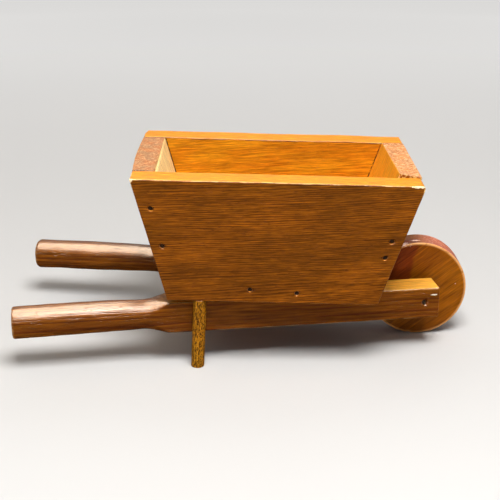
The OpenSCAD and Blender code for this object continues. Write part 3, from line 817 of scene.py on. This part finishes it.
def wheelDisc(name, seed, material):
    # A closed profile (bore, face, rolled edge, rim, rolled edge, face) carried round the axle; the rim's
    # radius is lessened by slow waves and one small flat on the near side, and the faces by slow waves.
    # A painted shadow of the tray covers the upper part of the near face behind a slanting, wavy line
    around = wheel["around"]
    roll = np.radians(np.linspace(0, 90, 6))
    edge, half, outer, bore = wheel["edge"], wheel["halfWidth"], wheel["radius"], wheel["bore"]
    radii = np.concatenate([[bore], np.linspace(bore + 0.5, outer - edge - 0.8, 22)])
    face = np.stack([radii, np.full(len(radii), -half)], 1)
    corner = np.stack([outer - edge + edge * np.sin(roll), -half + edge - edge * np.cos(roll)], 1)
    rim = np.stack([np.full(9, outer), np.linspace(-half + edge + 0.5, half - edge - 0.5, 9)], 1)
    firstHalf = np.concatenate([face, corner])
    profile = np.concatenate([firstHalf, rim, (firstHalf * [1, -1])[::-1]])
    count = len(profile)
    angle = np.linspace(0, 2 * np.pi, around, endpoint=False)
    a, r = np.meshgrid(angle, profile[:, 0], indexing="ij")
    y = np.broadcast_to(profile[:, 1], (around, count))
    flatRim = np.stack([np.cos(a) * outer, y * 0.8, np.sin(a) * outer], -1).reshape(-1, 3)
    loss = wheel["unround"] * waves(flatRim, seed, wheel["unroundWave"]).reshape(a.shape)
    off = np.abs((np.degrees(a) - wheel["nickAngle"] + 180) % 360 - 180)
    loss = loss + wheel["nickDepth"] * (1 - smooth(0, wheel["nickHalf"], off)) * (y < 0)
    flatFace = np.stack([np.cos(a) * r, y, np.sin(a) * r], -1).reshape(-1, 3)
    dish = wheel["faceWaves"] * waves(flatFace, seed + 1, wheel["faceWave"]).reshape(a.shape) * (r > bore + 0.3)
    radius = r - loss * smooth(0.75 * outer, outer, r)
    across = y - np.sign(y) * dish * smooth(half - 1.2, half, np.abs(y))
    points = np.stack([wheel["centre"][0] + radius * np.cos(a), across,
                       wheel["centre"][2] + radius * np.sin(a)], -1).reshape(-1, 3)
    index = np.arange(around * count).reshape(around, count)
    nextAround, nextProfile = np.roll(index, -1, 0), np.roll(index, -1, 1)
    both = np.roll(nextAround, -1, 1)
    quads = np.stack([index, nextProfile, both, nextAround], -1).reshape(-1, 4)
    rolled = smooth(outer - 1.6, outer - 0.6, profile[:, 0])
    rolled = rolled * smooth(half - 1.1, half - 0.4, np.abs(profile[:, 1]))
    wear = np.broadcast_to(rolled, (around, count)).ravel()
    # painted shadow: the tray's shadow over the upper part of the near face, behind a slanting wavy edge
    slant = flatFace[:, 0] - wheel["stainSlant"] * flatFace[:, 2]
    slant = slant + wheel["stainWaves"] * waves(flatFace, seed + 2, 12)
    stain = 1 - smooth(wheel["stainEdge"] - wheel["stainFade"], wheel["stainEdge"] + wheel["stainFade"], slant)
    stain = stain * smooth(-4, 3, flatFace[:, 2]) * (flatFace[:, 1] < 0)
    return putMesh(name, points, quads, wear=wear, stain=stain, body="wheel", node="wheel",
                   slot="wheel_wood", material=material)


print("wheel")
wheelWood = wood("wheelWood", turn=(0, 38, 0), grainWay=(0.788, 0, 0.616), pith=(300, 11, -60), ringGap=1.1,
                 ringAmount=0.35, streakAmount=0.25, wiggle=0.9, fleckStretch=0.05, fleckScale=1.5,
                 fleckAmount=1.5, dashAmount=0.1, patchScale=0.035,
                 plain=(0.36, 0.108, 0.0006), patch=(0.24, 0.064, 0.0006), late=(0.15, 0.034, 0.0006),
                 endPlain=(0.58, 0.15, 0.075), endPatch=(0.42, 0.09, 0.05), endSpecks=0.5,
                 endSpeck=(0.85, 0.50, 0.36), coat=0.2, wear=(0.92, 0.45, 0.14), wearFrom=0.30,
                 wearAmount=0.7, chip=(0.90, 0.62, 0.50), chipRough=3.0,
                 # the last two marks, on the rim's top left, are a painted highlight; the first is a pale dot
                 # on the near face
                 chips=(((134.5, -8.5, 34.0), (0.3, 1.0, 0.3)), ((100.5, -6.5, 59.4), (5.5, 2.4, 1.4)),
                        ((108.5, -3.5, 61.2), (3.2, 1.2, 0.8))))
wheelDisc("wheelDisc", 83, wheelWood)


print("nails")
bradLook = {**baseSteel, "steel": (0.052, 0.022, 0.005), "rust": (0.020, 0.007, 0.0015)}
axleLook = {**baseSteel, "steel": (0.062, 0.033, 0.014), "rust": (0.018, 0.007, 0.002)}
nailSteel = steelMaterial("nailSteel", bradLook)
axleSteel = steelMaterial("axleSteel", axleLook)
for nodeName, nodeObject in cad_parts.items():
    if "nail" in nodeName or "brad" in nodeName:
        for materialSlot in nodeObject.material_slots:
            materialSlot.material = axleSteel if "axle" in nodeName else nailSteel


studio = {
    "floor": (0.60, 0.592, 0.58), "floorHalf": 15000, "cells": 8,
    "glow": 0.95, "glowFrom": 0.12, "glowTo": 1.5,
    "sky": (0.64, 0.63, 0.615), "world": (0.85, 0.86, 0.88), "worldPower": 0.20,
    "keyPlace": (0.10, -0.42, 0.88), "keySize": (0.45, 0.40), "keyPower": 12.0,
    "backPlace": (0.0, 1.1, 0.7), "backSize": (1.6, 0.5), "backPower": 3.0,
    "glossPlace": (-0.1, -0.08, 0.92), "glossSize": (1.3, 1.3), "glossPower": 140.0,
    "glossColour": (1.0, 0.83, 0.62),  # seen in the varnish only
}


def areaLight(name, place, size, power, aim=(0, 0, 0.06)):
    # Rectangular lamp at a place, turned so that it faces the aim
    lamp = bpy.data.lights.new(name, "AREA")
    lamp.shape = "RECTANGLE"
    lamp.size, lamp.size_y = size
    lamp.energy = power
    holder = bpy.data.objects.new(name, lamp)
    holder.location = place
    holder.rotation_euler = (Vector(aim) - Vector(place)).to_track_quat("-Z", "Y").to_euler()
    scene.collection.objects.link(holder)
    return holder


def studioFloor():
    # Flat sheet far wider than the view, glowing faintly far out so that it stays pale away from the lamps
    line = np.linspace(-studio["floorHalf"], studio["floorHalf"], studio["cells"] + 1)
    x, y = np.meshgrid(line, line, indexing="ij")
    points = np.stack([x, y, np.zeros_like(x)], -1).reshape(-1, 3)
    index = np.arange(line.size ** 2).reshape(line.size, line.size)
    quads = np.stack([index[:-1, :-1], index[1:, :-1], index[1:, 1:], index[:-1, 1:]], -1).reshape(-1, 4)
    material, tree, add = makeTree("floorPaper")
    coords = add("TexCoord").outputs["Object"]
    grey = add("TexNoise", {"Vector": coords, "Scale": 2.0, "Detail": 2.0}).outputs[0]
    tone = add("MapRange", {0: grey, 3: 0.97, 4: 1.03}).outputs[0]
    paper = add("Mix", {0: 1.0, 6: (*studio["floor"], 1), 7: tone},
                data_type="RGBA", blend_type="MULTIPLY").outputs[2]
    far = add("VectorMath", {0: coords}, operation="LENGTH").outputs["Value"]
    glow = add("MapRange", {0: far, 1: studio["glowFrom"], 2: studio["glowTo"], 4: studio["glow"]}).outputs[0]
    shader = add("BsdfPrincipled", {"Base Color": paper, "Roughness": 0.7, "Specular IOR Level": 0.1,
                                    "Emission Color": (*studio["floor"], 1), "Emission Strength": glow})
    tree.links.new(shader.outputs[0], add("OutputMaterial").inputs[0])
    mesh = bpy.data.meshes.new("studioFloor")
    mesh.from_pydata((points * mm).tolist(), [], quads.tolist())
    mesh.materials.append(material)
    floor = bpy.data.objects.new("studioFloor", mesh)
    scene.collection.objects.link(floor)
    floor.visible_glossy = False  # the varnish mirrors the lamps and the other pieces, not the paper


print("studio")
studioFloor()
areaLight("keyLight", studio["keyPlace"], studio["keySize"], studio["keyPower"])
areaLight("backLight", studio["backPlace"], studio["backSize"], studio["backPower"])
gloss = areaLight("glossLight", studio["glossPlace"], studio["glossSize"], studio["glossPower"])
gloss.data.color = studio["glossColour"]
gloss.visible_diffuse = False
world = bpy.data.worlds.new("studioWorld")
world.use_nodes = True
worldTree = world.node_tree
light = worldTree.nodes["Background"]
light.inputs[0].default_value = (*studio["world"], 1)
light.inputs[1].default_value = studio["worldPower"]
sky = worldTree.nodes.new("ShaderNodeBackground")  # what shows beyond the paper; it lights nothing
sky.inputs[0].default_value = (*studio["sky"], 1)
either = worldTree.nodes.new("ShaderNodeMixShader")
worldTree.links.new(worldTree.nodes.new("ShaderNodeLightPath").outputs["Is Camera Ray"], either.inputs[0])
worldTree.links.new(light.outputs[0], either.inputs[1])
worldTree.links.new(sky.outputs[0], either.inputs[2])
worldTree.links.new(either.outputs[0], worldTree.nodes["World Output"].inputs[0])
scene.world = world
world.cycles_visibility.glossy = False
scene.view_settings.view_transform = "Standard"

view = {"place": (-0.000089, -0.645229, 0.287973), "turn": (70.027, -0.143, -0.395), "lens": 78.315,
        "sensor": 36, "clip": (0.01, 20)}
lens = bpy.data.cameras.new("camera")
lens.lens = view["lens"]
lens.sensor_width = view["sensor"]
lens.clip_start, lens.clip_end = view["clip"]
camera = bpy.data.objects.new("camera", lens)
camera.location = view["place"]
camera.rotation_euler = Euler([radians(a) for a in view["turn"]], "XYZ")
scene.collection.objects.link(camera)
scene.camera = camera
